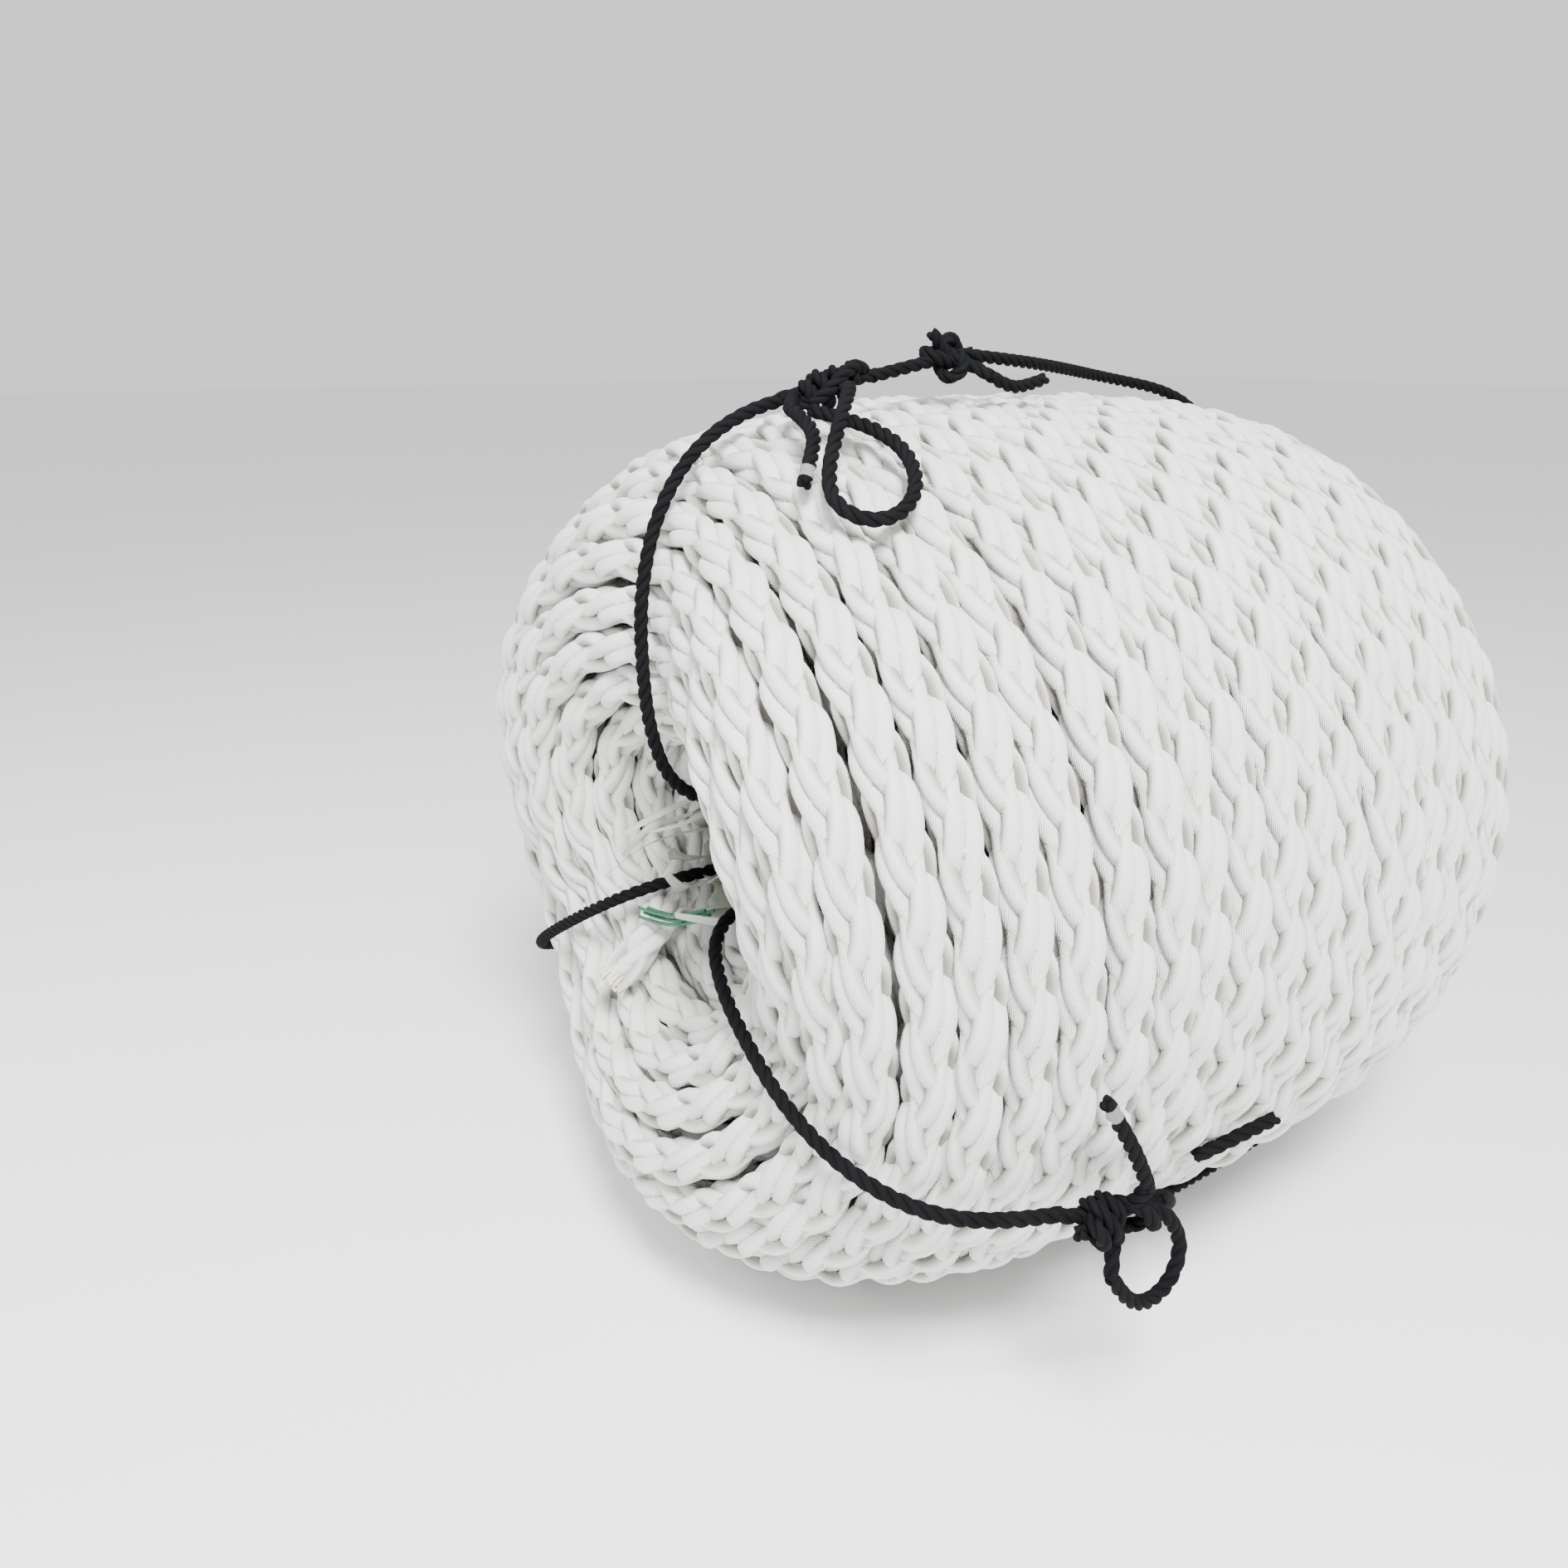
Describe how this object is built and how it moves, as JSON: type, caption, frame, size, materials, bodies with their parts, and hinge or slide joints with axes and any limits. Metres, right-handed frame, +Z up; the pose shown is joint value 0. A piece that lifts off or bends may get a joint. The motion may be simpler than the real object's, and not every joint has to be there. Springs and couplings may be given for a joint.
{
  "type": "coiled dock line",
  "caption": "Heavy white eight-strand plaited mooring rope wound in a thick hollow coil that lies on its side, bound by black laid tie cords with slip knots.",
  "frame": {"origin": "middle of the flat patch on the underside, on the floor", "axes": "+Z up; +X along the coil's own axis, away from the end with the rope's inner end; -Y towards the side with the low slip knot"},
  "size_m": [1.1178, 1.1684, 1.1601],
  "materials": {
    "rope_white": "satin plaited synthetic fibre",
    "tie_black": "matt laid synthetic fibre",
    "clear_tape": "clear glossy tape",
    "core_film": "crumpled thin film",
    "green_twine": "shiny split-film twine"
  },
  "bodies": {
    "root": {"rope_coil": "rope_white", "rope_inner_end": "rope_white", "rope_outer_end": "rope_white", "rope_inner_end_tape": "clear_tape", "rope_outer_end_tape": "clear_tape", "tie_top": "tie_black", "tie_top_bridge": "tie_black", "tie_top_slip_knot": "tie_black", "tie_top_joining_knot": "tie_black", "tie_top_joining_tail": "tie_black", "tie_top_slip_loop": "tie_black", "tie_top_tail": "tie_black", "tie_top_tail_tape": "clear_tape", "tie_front": "tie_black", "tie_front_slip_knot": "tie_black", "tie_front_slip_loop": "tie_black", "tie_front_tail": "tie_black", "tie_front_tail_tape": "clear_tape", "tie_front_second_tail": "tie_black", "tie_back": "tie_black", "tie_back_slip_knot": "tie_black", "tie_back_slip_loop": "tie_black", "tie_back_tail": "tie_black", "tie_back_tail_tape": "clear_tape", "core_film": "core_film", "core_twine": "green_twine"}
  },
  "joints": []
}
